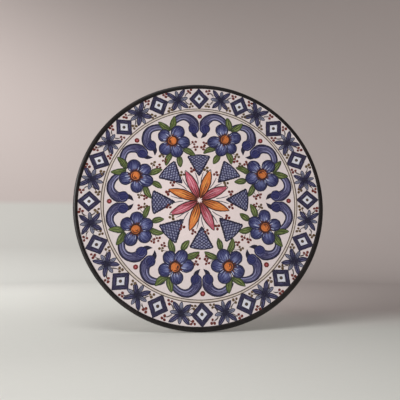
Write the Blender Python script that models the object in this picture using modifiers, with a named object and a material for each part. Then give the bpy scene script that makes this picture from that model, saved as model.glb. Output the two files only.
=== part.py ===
"""A round ceramic wall plate, turned in one piece, as it hangs on a wall.

The plate stands upright with its painted face towards -Y. Its foot ring rests against the wall, which is
the plane y = 0, and the origin is on the foot ring's contact face at twelve o'clock, between the two
holes for the hanging wire. All sizes are in metres.
"""

import math

import bmesh
import bpy
from mathutils import Vector

# The plate's outline, seen from the front.
DIAMETER = 0.280
WELL_DIAMETER = 0.136
RIM_ROLL_RADIUS = 0.0032
FACE_DIAMETER = 0.2688

# Thickness and rise, measured along the plate's axis.
CENTRE_WALL = 0.0070
EDGE_WALL = 0.0042
FACE_RISE = 0.0050

# The foot ring on the back.
FOOT_HEIGHT = 0.0065
FOOT_DIAMETER = 0.149
FOOT_FACE_WIDTH = 0.0054
FOOT_CHAMFER = 0.0008
FOOT_FLARE = 0.0012
COVE_RADIUS = 0.0020

# The two holes through the foot ring that take the hanging wire.
WIRE_HOLE_RADIUS = 0.0015
WIRE_HOLE_HEIGHT = 0.0034
WIRE_HOLE_ANGLE = math.radians(12)
WIRE_HOLE_SIDES = 12
WIRE_HOLE_REACH = 0.014

# How finely the turned form is divided.
TURN_STEPS = 96
FACE_STEPS = 6
ROLL_STEPS = 8
BACK_STEPS = 4
MERGE_DISTANCE = 0.00001

GLAZE_COLOUR = (0.76, 0.70, 0.66, 1.0)
GLAZE_ROUGHNESS = 0.22

RADIUS = DIAMETER / 2
WELL_RADIUS = WELL_DIAMETER / 2
FACE_RADIUS = FACE_DIAMETER / 2
FOOT_RADIUS = FOOT_DIAMETER / 2
FOOT_HALF = FOOT_FACE_WIDTH / 2


def clear_scene():
    for obj in list(bpy.data.objects):
        bpy.data.objects.remove(obj)


def new_collection(name):
    collection = bpy.data.collections.new(name)
    bpy.context.scene.collection.children.link(collection)
    return collection


def glaze_material():
    material = bpy.data.materials.new("white tin glaze")
    material.use_nodes = True
    shader = material.node_tree.nodes["Principled BSDF"]
    shader.inputs["Base Color"].default_value = GLAZE_COLOUR
    shader.inputs["Roughness"].default_value = GLAZE_ROUGHNESS
    shader.inputs["Metallic"].default_value = 0.0
    return material


def border_share(radius):
    """How far out across the curved border a radius lies, from 0 at the well to 1 at the rim roll."""
    return max(0.0, (radius - WELL_RADIUS) / (FACE_RADIUS - WELL_RADIUS))


def front_height(radius):
    """The painted face: flat across the well, then curving forward to the rim."""
    return FOOT_HEIGHT + CENTRE_WALL + FACE_RISE * border_share(radius) ** 2


def back_height(radius):
    """The back of the border, with the wall thinning towards the edge."""
    return front_height(radius) - CENTRE_WALL + (CENTRE_WALL - EDGE_WALL) * border_share(radius)


def front_profile():
    """From the plate's centre across the well and the border, as (radius, height) pairs."""
    points = [(0.0, front_height(0.0))]
    for step in range(FACE_STEPS):
        radius = WELL_RADIUS + (FACE_RADIUS - WELL_RADIUS) * step / FACE_STEPS
        points.append((radius, front_height(radius)))
    return points


def roll_profile():
    """The rounded rim, from where it meets the painted face round to where it meets the back."""
    centre_radius = RADIUS - RIM_ROLL_RADIUS
    inset = centre_radius - FACE_RADIUS
    rise = math.sqrt(RIM_ROLL_RADIUS**2 - inset**2)
    centre_height = front_height(FACE_RADIUS) - rise
    start = math.atan2(rise, -inset)
    points = []
    for step in range(ROLL_STEPS + 1):
        angle = start * (1 - 2 * step / ROLL_STEPS)
        radius = centre_radius + RIM_ROLL_RADIUS * math.cos(angle)
        points.append((radius, centre_height + RIM_ROLL_RADIUS * math.sin(angle)))
    return points


def back_profile():
    """The back of the border, from the rim roll in to the cove beside the foot ring."""
    inner = FOOT_RADIUS + FOOT_HALF + FOOT_FLARE + COVE_RADIUS
    points = []
    for step in range(1, BACK_STEPS + 1):
        radius = FACE_RADIUS + (inner - FACE_RADIUS) * step / BACK_STEPS
        points.append((radius, back_height(radius)))
    return points


def foot_profile():
    """The foot ring, from its outer side over the contact face into the recess, and in to the axis."""
    outer = FOOT_RADIUS + FOOT_HALF
    inner = FOOT_RADIUS - FOOT_HALF
    return [
        (outer + FOOT_FLARE, FOOT_HEIGHT - COVE_RADIUS),
        (outer + FOOT_CHAMFER, FOOT_CHAMFER),
        (outer, 0.0),
        (inner, 0.0),
        (inner - FOOT_CHAMFER, FOOT_CHAMFER),
        (inner - FOOT_FLARE, FOOT_HEIGHT - COVE_RADIUS),
        (inner - FOOT_FLARE - COVE_RADIUS, FOOT_HEIGHT),
        (0.0, FOOT_HEIGHT),
    ]


def profile_mesh():
    profile = front_profile() + roll_profile() + back_profile() + foot_profile()
    bm = bmesh.new()
    verts = [bm.verts.new((radius, 0.0, height)) for radius, height in profile]
    for first, second in zip(verts, verts[1:]):
        bm.edges.new((first, second))
    mesh = bpy.data.meshes.new("plate")
    bm.to_mesh(mesh)
    bm.free()
    return mesh


def wall_empty(collection):
    """Turns the plate from lying face up to hanging face forward, with the foot ring on the wall plane."""
    empty = bpy.data.objects.new("wall position", None)
    empty.location = (0.0, 0.0, -FOOT_RADIUS)
    empty.rotation_euler = (math.pi / 2, 0.0, 0.0)
    collection.objects.link(empty)
    return empty


def make_plate(collection, parent):
    plate = bpy.data.objects.new("plate", profile_mesh())
    plate.parent = parent
    plate.data.materials.append(glaze_material())
    collection.objects.link(plate)
    turn = plate.modifiers.new("turning", "SCREW")
    turn.axis = "Z"
    turn.angle = math.tau
    turn.steps = TURN_STEPS
    turn.render_steps = TURN_STEPS
    turn.use_merge_vertices = True
    turn.merge_threshold = MERGE_DISTANCE
    turn.use_smooth_shade = True
    return plate


def make_wire_hole(name, angle, collection, parent):
    """A cutter along the foot ring's radius, at this angle clockwise from twelve o'clock."""
    outward = Vector((math.sin(angle), math.cos(angle), 0.0))
    bpy.ops.mesh.primitive_cylinder_add(
        vertices=WIRE_HOLE_SIDES,
        radius=WIRE_HOLE_RADIUS,
        depth=WIRE_HOLE_REACH,
    )
    cutter = bpy.context.object
    cutter.name = name
    for owner in list(cutter.users_collection):
        owner.objects.unlink(cutter)
    collection.objects.link(cutter)
    cutter.parent = parent
    cutter.location = outward * FOOT_RADIUS + Vector((0.0, 0.0, WIRE_HOLE_HEIGHT))
    cutter.rotation_euler = outward.to_track_quat("Z", "Y").to_euler()
    cutter.hide_render = True
    cutter.display_type = "WIRE"
    return cutter


def drill(plate, cutter):
    cut = plate.modifiers.new(cutter.name, "BOOLEAN")
    cut.operation = "DIFFERENCE"
    cut.solver = "EXACT"
    cut.object = cutter


def main():
    clear_scene()
    parts = new_collection("Ceramic wall plate")
    cutters = new_collection("Cutters")
    parent = wall_empty(parts)
    plate = make_plate(parts, parent)
    for name, angle in (("left wire hole", -WIRE_HOLE_ANGLE), ("right wire hole", WIRE_HOLE_ANGLE)):
        drill(plate, make_wire_hole(name, angle, cutters, parent))
    bpy.context.view_layer.update()


main()
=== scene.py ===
"""A painted ceramic wall plate: the turned body, its dark rim, and the ornament laid on as raised glaze.

The ornament is built stroke by stroke. Each stroke is a thin closed body of glaze that lies on the plate's
face, and like strokes are gathered into one piece. A motif is drawn in millimetres round its own centre,
with x running clockwise round the plate and y running outward, and is then set in its place on the face.
"""

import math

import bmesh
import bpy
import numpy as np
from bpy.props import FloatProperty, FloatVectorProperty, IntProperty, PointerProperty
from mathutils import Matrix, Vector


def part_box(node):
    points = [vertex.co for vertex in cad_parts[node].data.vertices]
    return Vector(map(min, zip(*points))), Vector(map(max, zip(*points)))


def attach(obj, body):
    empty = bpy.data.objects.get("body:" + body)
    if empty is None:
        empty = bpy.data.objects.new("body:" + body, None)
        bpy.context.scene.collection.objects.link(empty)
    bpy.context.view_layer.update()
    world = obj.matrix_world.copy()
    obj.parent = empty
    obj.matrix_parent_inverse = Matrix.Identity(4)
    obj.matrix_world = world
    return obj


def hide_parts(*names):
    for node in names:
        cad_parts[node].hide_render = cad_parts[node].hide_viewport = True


bl_info = {
    "name": "Painted Wall Plate",
    "version": (1, 0, 0),
    "blender": (4, 5, 0),
    "location": "View3D > Sidebar > Wall Plate",
    "description": "Builds a turned ceramic wall plate and paints its ornament in raised glaze",
    "category": "Object",
}

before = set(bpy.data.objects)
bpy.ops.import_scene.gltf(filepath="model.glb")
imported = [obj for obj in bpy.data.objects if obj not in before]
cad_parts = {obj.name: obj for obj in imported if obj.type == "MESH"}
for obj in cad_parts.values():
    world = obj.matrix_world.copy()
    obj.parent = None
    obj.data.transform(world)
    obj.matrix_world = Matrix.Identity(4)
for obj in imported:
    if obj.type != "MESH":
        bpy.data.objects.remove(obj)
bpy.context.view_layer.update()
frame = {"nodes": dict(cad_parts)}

PLATE_LOW, PLATE_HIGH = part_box("plate")
PLATE_DIAMETER = PLATE_HIGH.x - PLATE_LOW.x
PLATE_CENTRE_HEIGHT = (PLATE_HIGH.z + PLATE_LOW.z) / 2
RIM_FRONT = -PLATE_LOW.y
BODY = "root"
MM = 0.001


# Sizes, colours and light that a user may change.


def metres(name, description, default):
    return FloatProperty(name=name, description=description, default=default, unit="LENGTH", precision=4)


def bearing(name, description, degrees):
    return FloatProperty(name=name, description=description, default=math.radians(degrees), subtype="ANGLE")


def watts(name, description, default):
    return FloatProperty(name=name, description=description, default=default, unit="POWER")


def tint(name, description, *default):
    return FloatVectorProperty(
        name=name, description=description, default=default, subtype="COLOR", size=3, min=0.0, max=1.0
    )


class PlateForm(bpy.types.PropertyGroup):
    """The turned body's sizes"""

    diameter: metres("Diameter", "Across the rim", PLATE_DIAMETER)
    well_diameter: metres("Well", "Diameter of the flat middle of the face", 0.136)
    face_diameter: metres("Face", "Diameter at which the face meets the rim roll", 0.2688)
    face_rise: metres("Rise", "How far the border comes forward of the well", 0.0050)
    rim_roll: metres("Rim roll", "Radius of the rounded rim", 0.0032)
    centre_wall: metres("Middle wall", "Thickness of the wall in the middle", 0.0070)
    edge_wall: metres("Edge wall", "Thickness of the wall beside the rim roll", 0.0042)
    foot_height: metres("Foot height", "How far the foot ring stands off the back", 0.0065)
    foot_diameter: metres("Foot ring", "Diameter of the foot ring's middle line", 0.149)
    foot_face: metres("Foot face", "Width of the foot ring's contact face", 0.0054)
    wire_hole: metres("Wire hole", "Radius of each hole for the hanging wire", 0.0015)
    wire_hole_height: metres("Wire hole height", "From the wall to the holes' middle", 0.0034)
    wire_hole_angle: bearing("Wire hole angle", "Of each hole from twelve o'clock", 12)


class PaintPlan(bpy.types.PropertyGroup):
    """Where the ornament lies on the face"""

    repeats: IntProperty(name="Repeats", description="Flowers and scroll pairs round the plate", default=8)
    painting_turn: bearing("Painting turn", "Of the whole painting, clockwise", -1.0)
    rosette_turn: bearing("Rosette turn", "Of the first rosette petal, clockwise", 19.6)
    border_radius: metres("Border", "Radius of the diamonds' and stars' centres", 0.1224)
    scroll_radius: metres("Scrolls", "Radius of the scroll pairs' middles", 0.0924)
    flower_radius: metres("Flowers", "Radius of the flowers' centres", 0.0785)
    ring_dot_radius: metres("Ring dots", "Radius of the red ring dots", 0.1012)
    berry_radius: metres("Berries", "Radius of the berries between the flowers", 0.0650)
    lattice_radius: metres("Lattices", "Radius of the lattices' middles", 0.0420)
    outer_line: metres("Outer line", "Radius of the outer ring line", 0.1102)
    inner_line: metres("Inner line", "Radius of the inner ring line", 0.1077)
    glaze_lift: metres("Glaze lift", "Thickness of a wash of painted glaze", 0.00003)
    hand_wobble: metres("Hand wobble", "How far a stroke strays from its line", 0.00016)
    seed: IntProperty(name="Seed", description="Seed of the painter's hand", default=11)


class PaintPalette(bpy.types.PropertyGroup):
    """The glazes"""

    ground: tint("Ground", "Warm white tin glaze in the middle", 0.79, 0.672, 0.658)
    # Painted shade: the ground is made darker and cooler from the middle towards the rim.
    shaded_border_ground: tint("Border ground", "Cooler white towards the rim", 0.66, 0.585, 0.585)
    rim: tint("Rim", "Brown-black rim glaze", 0.008, 0.006, 0.006)
    clay: tint("Clay", "Bare fired clay", 0.42, 0.22, 0.125)
    navy: tint("Navy", "Dark outline blue", 0.011, 0.010, 0.028)
    cobalt: tint("Cobalt", "Brushed cobalt of the flowers", 0.023, 0.025, 0.108)
    glint: tint("Glint", "Pale streaks in the flowers", 0.25, 0.28, 0.50)
    shine: tint("Shine", "Brightest streaks in the flowers' blue", 0.42, 0.45, 0.64)
    violet: tint("Violet", "Brushed violet-blue of the scrolls", 0.038, 0.034, 0.099)
    lavender: tint("Lavender", "Pale band of the scrolls", 0.225, 0.22, 0.38)
    star_blue: tint("Star blue", "Brushed blue of the stars", 0.027, 0.026, 0.074)
    haze: tint("Haze", "Light streaks in the stars", 0.085, 0.082, 0.165)
    frame: tint("Frame", "Dark blue of the diamonds", 0.023, 0.020, 0.050)
    pale_blue: tint("Pale blue", "Grey-blue wash of the small leaves", 0.16, 0.165, 0.24)
    cell: tint("Cell", "Pale cells of the lattices", 0.175, 0.18, 0.31)
    pearl: tint("Pearl", "Bluish white inside the diamonds", 0.62, 0.62, 0.68)
    green: tint("Green", "Brushed olive green", 0.070, 0.099, 0.021)
    light_green: tint("Light green", "Thin streaks in the green", 0.21, 0.25, 0.09)
    dark_green: tint("Dark green", "Leaf outline", 0.014, 0.022, 0.014)
    orange: tint("Orange", "Brushed orange", 0.60, 0.165, 0.034)
    light_orange: tint("Light orange", "Thin streaks in the orange", 0.74, 0.30, 0.055)
    pink: tint("Pink", "Brushed pink", 0.45, 0.078, 0.120)
    light_pink: tint("Light pink", "Thin streaks in the pink", 0.64, 0.26, 0.32)
    rust: tint("Rust", "Red-brown at the orange petals' roots", 0.115, 0.026, 0.010)
    brown: tint("Brown", "Dark brown line", 0.034, 0.013, 0.012)
    red: tint("Red", "Dark red dots", 0.150, 0.016, 0.013)
    ochre: tint("Ochre", "Olive-brown dots", 0.115, 0.066, 0.016)
    slate: tint("Slate", "Grey stems round the rosette", 0.085, 0.084, 0.098)
    stem: tint("Stem", "Grey-brown stems", 0.052, 0.040, 0.038)
    ring: tint("Ring line", "Thin grey-ochre ring lines", 0.075, 0.052, 0.040)
    cream: tint("Cream", "Cream wash between the ring lines", 0.61, 0.53, 0.465)


class StudioSetup(bpy.types.PropertyGroup):
    """The floor, the light and the camera"""

    azimuth: bearing("Azimuth", "Of the camera, from straight in front", -3.93)
    elevation: bearing("Elevation", "Of the camera", -10.23)
    distance: metres("Distance", "From the camera to the plate's face", 0.3954)
    aim_right: metres("Aim right", "Of the camera's aim from the face's centre", -0.00074)
    aim_up: metres("Aim up", "Of the camera's aim from the face's centre", 0.0015)
    lens: FloatProperty(name="Lens", description="Focal length", default=31.5, unit="CAMERA")
    floor_colour: tint("Floor", "Pale floor", 0.71, 0.705, 0.66)
    # Painted light and shade on the floor: lighter towards its edge, darker where it turns up.
    lit_edge_colour: tint("Floor edge", "Towards the floor's edge", 0.82, 0.81, 0.765)
    shaded_far_colour: tint("Far floor", "Where the floor turns up", 0.61, 0.595, 0.56)
    # The backdrop's colour is also painted on the floor to the right behind the plate, as the plate's shadow.
    backdrop_colour: tint("Backdrop", "Pale mauve-grey wall", 0.565, 0.490, 0.466)
    key_power: watts("Key light", "From the left", 7.45)
    wall_power: watts("Wall light", "On the backdrop", 8.7)
    floor_power: watts("Floor light", "Low in front", 0.6)
    sky_strength: FloatProperty(name="Sky", description="Even light from all round", default=0.30)


# Curves and brush forms, in millimetres.


def path_lengths(points):
    steps = np.linalg.norm(np.diff(points[:, :2], axis=0), axis=1)
    return np.concatenate([[0.0], np.cumsum(steps)])


def respaced(points, count):
    """The same line with its points evenly spaced. Columns after the first two ride along."""
    travelled = path_lengths(points)
    wanted = np.linspace(0, travelled[-1], count)
    return np.stack([np.interp(wanted, travelled, column) for column in points.T], axis=1)


def smooth_path(controls, count):
    """A smooth curve through the control rows, with its points evenly spaced."""
    rows = np.array(controls, float)
    padded = np.vstack([2 * rows[0] - rows[1], rows, 2 * rows[-1] - rows[-2]])
    place = np.linspace(0, len(rows) - 1, 24 * (len(rows) - 1) + 1)
    index = np.minimum(place.astype(int), len(rows) - 2)
    part = (place - index)[:, None]
    before, start, end, after = (padded[index + step] for step in range(4))
    fine = 0.5 * (
        2 * start
        + (end - before) * part
        + (2 * before - 5 * start + 4 * end - after) * part**2
        + (3 * start - before - 3 * end + after) * part**3
    )
    return respaced(fine, count)


def left_normals(points, closed=False):
    """Unit vectors to the left of the line's direction."""
    if closed:
        direction = np.roll(points, -1, axis=0) - np.roll(points, 1, axis=0)
    else:
        direction = np.gradient(points, axis=0)
    direction /= np.maximum(np.linalg.norm(direction, axis=1, keepdims=True), 1e-9)
    return np.stack([-direction[:, 1], direction[:, 0]], axis=1)


def outward(degrees):
    """The unit vector at this angle clockwise from outward."""
    angle = math.radians(degrees)
    return np.array([math.sin(angle), math.cos(angle)])


def spiral(centre, radii, angles, count):
    """Points that wind round a centre from one radius and angle to another, in degrees clockwise."""
    radius = np.linspace(*radii, count)
    angle = np.radians(np.linspace(*angles, count))
    return np.stack([centre[0] + radius * np.sin(angle), centre[1] + radius * np.cos(angle)], axis=1)


def circle(radius, count=40, centre=(0.0, 0.0)):
    return spiral(centre, (radius, radius), (0, 360), count)


def straight(start, end, count=12):
    return np.linspace(start, end, count)


def mirrored(points, side):
    """The drawing as it is for side 1, and turned over left to right for side -1."""
    return np.asarray(points, float) * np.array([side, 1.0])


def round_width(widest, base):
    """A rounded petal: narrow at its base, widest at this share of its length, with a circular end."""

    def share(t):
        rising = base + (1 - base) * np.sin(np.pi / 2 * np.minimum(t / widest, 1)) ** 1.1
        past = np.clip((t - widest) / (1 - widest), 0, 1)
        return np.where(t < widest, rising, np.sqrt(np.maximum(1 - past**2, 0.0004)))

    return share


def pointed_width(lean, fullness, base=0.03):
    """A leaf, pointed at both ends. A lean over 1 puts its widest place nearer the tip."""
    return lambda t: base * (1 - t) + (1 - base * (1 - t)) * np.sin(np.pi * t**lean).clip(0, 1) ** fullness


def disc_width(t):
    return np.sqrt(np.clip(1 - (2 * t - 1) ** 2, 0, 1))


def horn_width(t):
    """A horn: broad at its root and drawn out to a point."""
    return np.maximum(1 - t**1.7, 0.03)


class Blade:
    """A brush-shaped form: a curved spine with a half-width at each share of its length."""

    SPINE_POINTS = 64

    def __init__(self, spine, half_width, share=None):
        rows = smooth_path(spine, self.SPINE_POINTS)
        self.grid = np.linspace(0, 1, self.SPINE_POINTS)
        self.path = rows[:, :2]
        self.normals = left_normals(self.path)
        self.reach = half_width * (share(self.grid) if share else rows[:, 2])
        self.length = path_lengths(self.path)[-1]

    def at(self, t, across):
        """Points at these shares of the length, across from -1 on the right to 1 on the left."""
        t, across = np.broadcast_arrays(np.asarray(t, float), np.asarray(across, float))
        spine, normal = (
            np.stack([np.interp(t, self.grid, column) for column in rows.T], axis=-1)
            for rows in (self.path, self.normals)
        )
        return spine + normal * (across * np.interp(t, self.grid, self.reach))[..., None]

    def streak(self, start, end, across, count):
        """A line along the form at one place across it, or sliding from one place to another."""
        places = np.linspace(*across, count) if np.ndim(across) else across
        return self.at(np.linspace(start, end, count), places)

    def contour(self, count=30, start=0.1):
        """Once round the form, from its base on the left over the tip to its base on the right."""
        t = start + (1 - start) * np.sin(np.linspace(0, np.pi / 2, count))
        return np.vstack([self.at(t, 1), self.at(t[::-1], -1)])


class Spot:
    """A motif's place on the face. It turns drawing millimetres into metres on the face."""

    def __init__(self, turn=0.0, radius=0.0, spin=0.0, scale=1.0, nudge=(0.0, 0.0)):
        self.turn, self.radius, self.spin, self.scale = turn, radius, spin, scale
        self.nudge = np.array(nudge, float)

    def place(self, points):
        cos, sin = math.cos(self.spin), math.sin(self.spin)
        x = (points[:, 0] * cos + points[:, 1] * sin) * self.scale + self.nudge[0]
        y = (points[:, 1] * cos - points[:, 0] * sin) * self.scale + self.nudge[1]
        x, y = x * MM, y * MM + self.radius
        cos, sin = math.cos(self.turn), math.sin(self.turn)
        return x * cos + y * sin, y * cos - x * sin


# The plate's own form, as (radius, height from the wall).


def border_share(form, radius):
    """How far out across the curved border a radius lies, from 0 at the well to 1 at the rim roll."""
    well, face = form.well_diameter / 2, form.face_diameter / 2
    return np.maximum(0.0, (radius - well) / (face - well))


def front_height(form, radius):
    """From the wall to the painted face."""
    return form.foot_height + form.centre_wall + form.face_rise * border_share(form, radius) ** 2


def back_height(form, radius):
    thinning = (form.centre_wall - form.edge_wall) * border_share(form, radius)
    return front_height(form, radius) - form.centre_wall + thinning


def roll_centre(form):
    """The middle of the rim roll's round."""
    centre = form.diameter / 2 - form.rim_roll
    inset = centre - form.face_diameter / 2
    rise = math.sqrt(form.rim_roll**2 - inset**2)
    return centre, float(front_height(form, form.face_diameter / 2)) - rise


def roll_start(form):
    """The angle at which the roll leaves the face, from straight outward towards the front."""
    centre, height = roll_centre(form)
    face = form.face_diameter / 2
    return math.atan2(float(front_height(form, face)) - height, face - centre)


def roll_points(form, start, end, count, trim):
    """Points round the rim roll, held within the body's depth."""
    centre, height = roll_centre(form)
    angles = np.linspace(start, end, count)
    radius = form.rim_roll - trim
    heights = np.minimum(height + radius * np.sin(angles), RIM_FRONT - trim)
    return np.stack([centre + radius * np.cos(angles), heights], axis=1)


# Brushwork: closed, slightly raised strokes of glaze gathered into one mesh.


def link(name, data):
    """Makes an object of this data and puts it in the scene."""
    piece = bpy.data.objects.new(name, data)
    bpy.context.scene.collection.objects.link(piece)
    return piece


def set_on_plate(piece, crease):
    """Smooths a piece, but not across edges sharper than this many degrees, and lets it ride on the plate."""
    piece.data.shade_smooth()
    piece.data.set_sharp_from_angle(angle=math.radians(crease))
    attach(piece, BODY)


def band_faces(rows, columns, closed):
    """Four-sided faces between rows of points that each run round a section."""
    for row in range(rows if closed else rows - 1):
        here, there = row * columns, (row + 1) % rows * columns
        for place in range(columns):
            after = (place + 1) % columns
            yield here + place, there + place, there + after, here + after


class Brushwork:
    """Collects strokes and turns them into one mesh on the plate's face.

    A pair of numbers for a start, an end, a half-width, a radius or a turn is a range to draw from.
    """

    # Round a stroke's section: how far across each point is, and whether it lies on the stroke's top.
    LINE_SECTION = np.array(((-1, -0.74, 0.74, 1), (0, 1, 1, 0)))
    WASH_SECTION = np.array(
        (
            (-1, -0.93, -0.7, -0.4, 0, 0.4, 0.7, 0.93, 1, 0.5, 0, -0.5),
            (0, 1, 1, 1, 1, 1, 1, 1, 0, 0, 0, 0),
        )
    )
    DAB_SIDES = 14
    DAB_RINGS = (0.45, 0.86, 1.0)
    DAB_SHOULDER = 0.9
    SINK = 0.008
    CROWN = 0.12
    LAYER_SHARE = 0.26
    LEAST_HALF_WIDTH = 0.04
    FULL_WOBBLE_LENGTH = 12
    SWELL = 0.16
    START_TAPER, END_TAPER = 0.16, 0.3
    RING_WAVES, RING_SWELL, RING_DRIFT = 7, 0.12, 0.6
    CREASE = 18

    def __init__(self, seed, under):
        scene = bpy.context.scene
        self.form, self.plan = scene.plate_form, scene.paint_plan
        self.hand = np.random.default_rng(self.plan.seed + seed)
        self.under = under
        self.spot = None
        self.points, self.strokes, self.reaches, self.faces, self.paints = [], [], [], [], []
        self.count = 0

    def vary(self, low, high, shape=None):
        return self.hand.uniform(low, high, shape)

    def pick(self, value):
        """The number itself, or one drawn from a pair's range."""
        return self.vary(*value) if np.ndim(value) else value

    def wave(self, count, period):
        """A slow random wave from -1 to 1, as a hand's drift over this many points."""
        place = np.linspace(0, count / period, count)
        phases = self.vary(0, math.tau, 3)
        return sum(np.sin(place * speed + phase) for speed, phase in zip((1.0, 2.3, 4.1), phases)) / 3

    def layer(self, level):
        """The lift in millimetres of a layer of glaze, with a hair's difference between its strokes."""
        return self.plan.glaze_lift / MM * (1 + self.LAYER_SHARE * (self.under + level + self.vary(0, 0.2)))

    def add(self, flat, lifts, along, across, reach, faces, glaze):
        """Adds one closed stroke from points in the drawing, each with its lift."""
        x, y = self.spot.place(flat)
        height = front_height(self.form, np.hypot(x, y)) + lifts * MM
        self.points.append(np.stack([x, -height, y + PLATE_CENTRE_HEIGHT], axis=1))
        tone = np.full(len(flat), self.hand.random())
        self.strokes.append(np.stack([along, across, tone], axis=1))
        self.reaches.append(reach)
        self.faces += [[index + self.count for index in face] for face in faces]
        self.paints += [glaze] * len(faces)
        self.count += len(flat)

    def loft(self, rows, section, level, along, glaze, closed=False):
        """A stroke from rows of points round its section."""
        count, columns = rows.shape[:2]
        across, on_top = section
        lifts = np.where(on_top > 0, self.layer(level) * (1 - self.CROWN * across**2), -self.SINK)
        faces = list(band_faces(count, columns, closed))
        if not closed:
            faces.append(range(columns))
            faces.append(range(count * columns - 1, (count - 1) * columns - 1, -1))
        reach = along / along[-1]
        along, reach = np.repeat(along, columns), np.repeat(reach, columns)
        lifts, across = np.tile(lifts, count), np.tile(across, count)
        self.add(rows.reshape(-1, 2), lifts, along, across, reach, faces, glaze)

    def line(self, points, half_width, level, glaze, ends=None, spacing=0.8):
        """A drawn line, whose width swells and thins a little. It tapers at its ends, or is closed."""
        closed = ends is None
        half_width = self.pick(half_width)
        total = path_lengths(points)[-1]
        count = max(6, int(total / spacing))
        points = respaced(np.asarray(points, float), count + 1 if closed else count)
        wobble = self.plan.hand_wobble / MM * min(1.0, total / self.FULL_WOBBLE_LENGTH)
        if closed:
            points = points[:-1]
            around = np.linspace(0, math.tau, count, endpoint=False)
            drift = np.sin(around * self.RING_WAVES + self.vary(0, 6))
            widths = half_width * (1 + self.RING_SWELL * np.roll(drift, 3))
            drift = drift * self.RING_DRIFT
        else:
            drift = self.wave(count, 4)
            share = np.linspace(0, 1, count)
            start = ends[0] + (1 - ends[0]) * np.sqrt(np.clip(share / self.START_TAPER, 0, 1))
            end = ends[1] + (1 - ends[1]) * np.sqrt(np.clip((1 - share) / self.END_TAPER, 0, 1))
            widths = half_width * (1 + self.SWELL * self.wave(count, 5)) * start * end
        normals = left_normals(points, closed)
        points = points + normals * (drift * wobble)[:, None]
        reach = np.maximum(widths, self.LEAST_HALF_WIDTH)[:, None] * self.LINE_SECTION[0]
        rows = points[:, None, :] + normals[:, None, :] * reach[..., None]
        self.loft(rows, self.LINE_SECTION, level, np.linspace(0, total, count), glaze, closed)

    def streaks(self, blade, places, start, end, width, level, glaze, ends=(0.3, 0.1), stray=0.0, count=12):
        """Lines along a form, each at one place across it, or sliding from one place to another.

        Stray is how far a line may be off its place at its end, or all along where it doesn't slide.
        """
        for across in places:
            start_at, end_at = self.pick(start), self.pick(end)
            off = self.vary(-stray, stray) if stray else 0.0
            slide = (across[0], across[1] + off) if np.ndim(across) else across + off
            self.line(blade.streak(start_at, end_at, slide, count), width, level, glaze, ends)

    def rays(self, count, swing, start, reach, half_width, level, glazes, ends, spacing=0.8):
        """Short strokes out from the motif's middle, in each of these glazes by turns."""
        for index in range(count):
            out = outward(index * 360 / count + self.vary(-swing, swing))
            ray = straight(out * start, out * self.pick(reach), 6)
            self.line(ray, half_width, level, glazes[index % len(glazes)], ends, spacing)

    def wash(self, blade, level, glaze, start=0.0, end=1.0, spacing=1.0, edge=0.03):
        """A filled form, with a slightly uneven edge."""
        count = max(8, int(blade.length / spacing))
        t = start + (end - start) * (1 - np.cos(np.linspace(0, np.pi, count))) / 2
        across = self.WASH_SECTION[0]
        left, right = self.wave(count, 3)[:, None], self.wave(count, 3)[:, None]
        rows = blade.at(t[:, None], across * (1 + edge * np.where(across > 0, left, right)))
        self.loft(rows, self.WASH_SECTION, level, t * blade.length + 0.01, glaze)

    def disc(self, centre, radius, level, glaze, turn=0.0):
        """A round form brushed in one direction."""
        radius = self.pick(radius)
        reach = outward(self.pick(turn)) * radius
        blade = Blade([centre - reach, np.array(centre), centre + reach], radius, disc_width)
        self.wash(blade, level, glaze, 0.004, 0.996, radius / 8)

    def dab(self, centre, radius, level, glaze):
        """A round touch of the brush."""
        sides, sink = self.DAB_SIDES, -self.SINK
        angles = np.linspace(0, math.tau, sides, endpoint=False)
        reach = self.pick(radius) * (1 + 0.07 * np.sin(angles * 2 + self.vary(0, 6)))
        lift = self.layer(level)
        edge = np.stack([np.cos(angles), np.sin(angles)], axis=1) * reach[:, None]
        flat = np.vstack([[[0, 0]], *(edge * share for share in self.DAB_RINGS), [[0, 0]]]) + centre
        lifts = np.repeat((lift, lift, lift * self.DAB_SHOULDER, sink, sink), (1, sides, sides, sides, 1))
        across = np.concatenate([[0], np.repeat(self.DAB_RINGS, sides), [0]])
        faces = []
        last = 1 + 2 * sides
        for side in range(sides):
            after = (side + 1) % sides
            faces.append((0, 1 + side, 1 + after))
            faces.append((last + after, last + side, last + sides))
            for inner in (1, 1 + sides):
                outer = inner + sides
                faces.append((inner + side, outer + side, outer + after, inner + after))
        self.add(flat, lifts, flat[:, 0] - centre[0], across, np.full(len(flat), 0.5), faces, glaze)

    def finish(self, name, slot, glazes):
        """Makes the piece, which rides on the plate."""
        mesh = bpy.data.meshes.new(name)
        mesh.from_pydata(np.vstack(self.points).tolist(), [], self.faces)
        stroke = mesh.attributes.new("stroke", "FLOAT_VECTOR", "POINT")
        stroke.data.foreach_set("vector", np.vstack(self.strokes).astype(np.float32).ravel())
        reach = mesh.attributes.new("reach", "FLOAT", "POINT")
        reach.data.foreach_set("value", np.concatenate(self.reaches).astype(np.float32))
        for glaze in glazes:
            mesh.materials.append(painted(glaze))
        mesh.polygons.foreach_set("material_index", np.array(self.paints, np.int32))
        set_on_plate(link(name, mesh), self.CREASE)


# Materials.


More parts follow.
